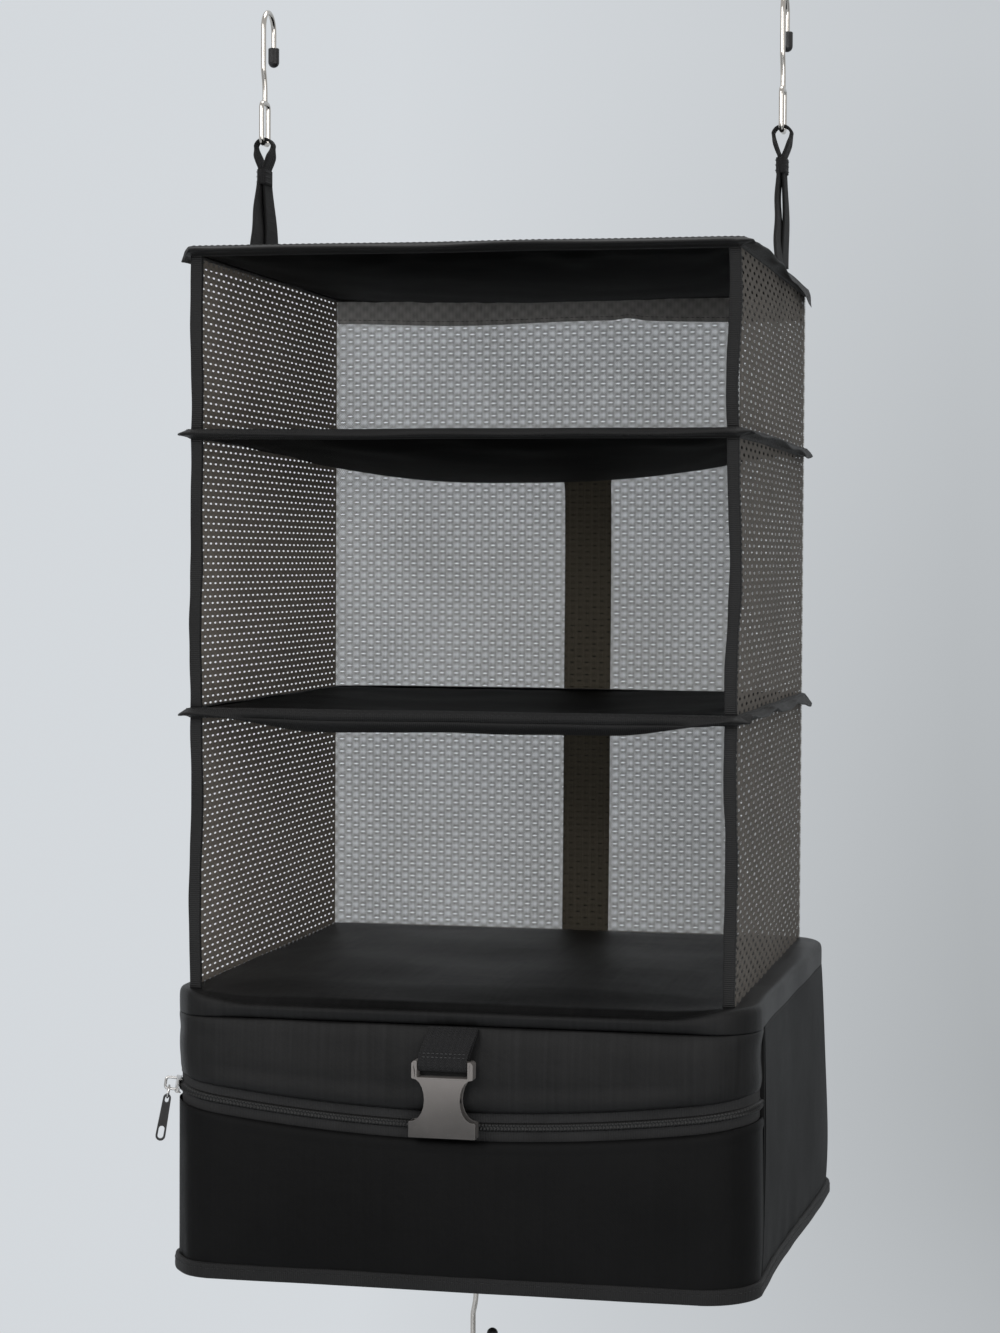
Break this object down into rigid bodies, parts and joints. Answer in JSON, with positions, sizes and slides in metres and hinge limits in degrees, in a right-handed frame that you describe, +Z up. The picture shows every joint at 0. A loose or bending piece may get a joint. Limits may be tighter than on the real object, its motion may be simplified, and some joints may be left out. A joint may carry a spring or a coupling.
{
  "type": "hanging travel organizer",
  "caption": "Hanging organizer of open mesh shelves over a zipped padded base, with wire hooks, a strap and a side-release buckle; the shelves fold flat.",
  "frame": {"origin": "hang point, level with the inside of the hooks' crowns and midway between the two hooks", "axes": "+X to the right seen from the front, +Y to the back, +Z up"},
  "size_m": [0.3367, 0.3475, 0.8034],
  "materials": {
    "nylon": "black padded nylon",
    "tape": "black binding tape",
    "mesh": "taupe warp-knit mesh",
    "webbing": "black webbing",
    "board": "grey stiffener board",
    "plastic": "dark grey-brown moulded plastic",
    "steel": "nickel-plated steel wire",
    "vinyl": "black vinyl"
  },
  "bodies": {
    "top": {"top_panel_binding": "tape", "top_panel_board": "board", "top_panel_cloth": "nylon", "top_panel_lining": "nylon", "top_tier_left_mesh": "mesh", "top_tier_right_mesh": "mesh", "top_tier_back_mesh": "mesh", "top_tier_left_edge_tape": "tape", "top_tier_right_edge_tape": "tape", "top_back_band": "nylon", "left_strap": "webbing", "right_strap": "webbing"},
    "left_hook": {"left_hook": "steel", "left_hook_cap": "vinyl"},
    "right_hook": {"right_hook": "steel", "right_hook_cap": "vinyl"},
    "upper_shelf": {"upper_shelf_binding": "tape", "upper_shelf_board": "board", "upper_shelf_cloth": "nylon", "upper_shelf_lining": "nylon", "middle_tier_left_mesh": "mesh", "middle_tier_right_mesh": "mesh", "middle_tier_back_mesh": "mesh", "middle_tier_left_edge_tape": "tape", "middle_tier_right_edge_tape": "tape", "rear_strap": "webbing"},
    "male_buckle": {"male_buckle": "plastic"},
    "male_left_arm": {"male_buckle_left_arm": "plastic"},
    "male_right_arm": {"male_buckle_right_arm": "plastic"},
    "lower_shelf": {"lower_shelf_binding": "tape", "lower_shelf_board": "board", "lower_shelf_cloth": "nylon", "lower_shelf_lining": "nylon", "lower_tier_left_mesh": "mesh", "lower_tier_right_mesh": "mesh", "lower_tier_back_mesh": "mesh", "lower_tier_left_edge_tape": "tape", "lower_tier_right_edge_tape": "tape"},
    "base": {"base_lid_cover": "nylon", "base_lid_board": "board", "base_front_upper_panel": "nylon", "base_front_lower_panel": "nylon", "base_back_panel": "nylon", "base_left_seam": "tape", "base_right_seam": "tape", "base_floor_cloth": "nylon", "base_floor_board": "board", "base_hem_binding": "tape", "zip_upper_tape": "tape", "zip_lower_tape": "tape", "zip_coil": "vinyl", "buckle_webbing": "webbing", "lower_loop": "webbing"},
    "female_buckle": {"female_buckle": "plastic"},
    "zip_slider": {"zip_slider": "steel"},
    "zip_pull": {"zip_pull_ring": "steel", "zip_pull_tab": "vinyl"},
    "lower_hook": {"lower_hook": "steel", "lower_hook_cap": "vinyl"}
  },
  "joints": [
    {"name": "top_tier_fold", "type": "slide", "parent": "top", "child": "upper_shelf", "axis": [0, 0, 1], "range_m": [0, 0.083], "deforming": ["top_tier_left_mesh", "top_tier_right_mesh", "top_tier_back_mesh", "top_tier_left_edge_tape", "top_tier_right_edge_tape", "top_back_band"]},
    {"name": "middle_tier_fold", "type": "slide", "parent": "upper_shelf", "child": "lower_shelf", "axis": [0, 0, 1], "range_m": [0, 0.131], "deforming": ["middle_tier_left_mesh", "middle_tier_right_mesh", "middle_tier_back_mesh", "middle_tier_left_edge_tape", "middle_tier_right_edge_tape"]},
    {"name": "lower_tier_fold", "type": "slide", "parent": "lower_shelf", "child": "base", "axis": [0, 0, 1], "range_m": [0, 0.13], "deforming": ["lower_tier_left_mesh", "lower_tier_right_mesh", "lower_tier_back_mesh", "lower_tier_left_edge_tape", "lower_tier_right_edge_tape"]},
    {"name": "left_hook_swing", "type": "hinge", "parent": "top", "child": "left_hook", "pos_m": [-0.153, 0, -0.07635], "axis": [0, 1, 0], "range_deg": [-70, 70]},
    {"name": "right_hook_swing", "type": "hinge", "parent": "top", "child": "right_hook", "pos_m": [0.153, 0, -0.07635], "axis": [0, 1, 0], "range_deg": [-70, 70]},
    {"name": "lower_hook_swing", "type": "hinge", "parent": "base", "child": "lower_hook", "pos_m": [-0.022, 0, -0.721], "axis": [-0.7071, 0.7071, 0], "range_deg": [-70, 70]},
    {"name": "female_buckle_swing", "type": "hinge", "parent": "base", "child": "female_buckle", "pos_m": [-0.003, -0.167, -0.588], "axis": [-1, 0, 0], "range_deg": [0, 110]},
    {"name": "male_buckle_swing", "type": "hinge", "parent": "upper_shelf", "child": "male_buckle", "pos_m": [0.011, 0.17174, -0.5984], "axis": [1, 0, 0], "range_deg": [0, 110]},
    {"name": "left_arm_squeeze", "type": "hinge", "parent": "male_buckle", "child": "male_left_arm", "pos_m": [0.00435, 0.17174, -0.6106], "axis": [0, -1, 0], "range_deg": [0, 7], "stiffness_Nm_per_rad": 0.5},
    {"name": "right_arm_squeeze", "type": "hinge", "parent": "male_buckle", "child": "male_right_arm", "pos_m": [0.01765, 0.17174, -0.6106], "axis": [0, 1, 0], "range_deg": [0, 7], "stiffness_Nm_per_rad": 0.5},
    {"name": "zip_slider_travel", "type": "hinge", "parent": "base", "child": "zip_slider", "pos_m": [-0.132, -0.132, -0.61354], "axis": [0.1495, 0, 0.9888], "range_deg": [-15, 70]},
    {"name": "zip_pull_swing", "type": "hinge", "parent": "zip_slider", "child": "zip_pull", "pos_m": [-0.16369, -0.14349, -0.61195], "axis": [-0.9397, -0.342, 0], "range_deg": [-90, 90]}
  ]
}
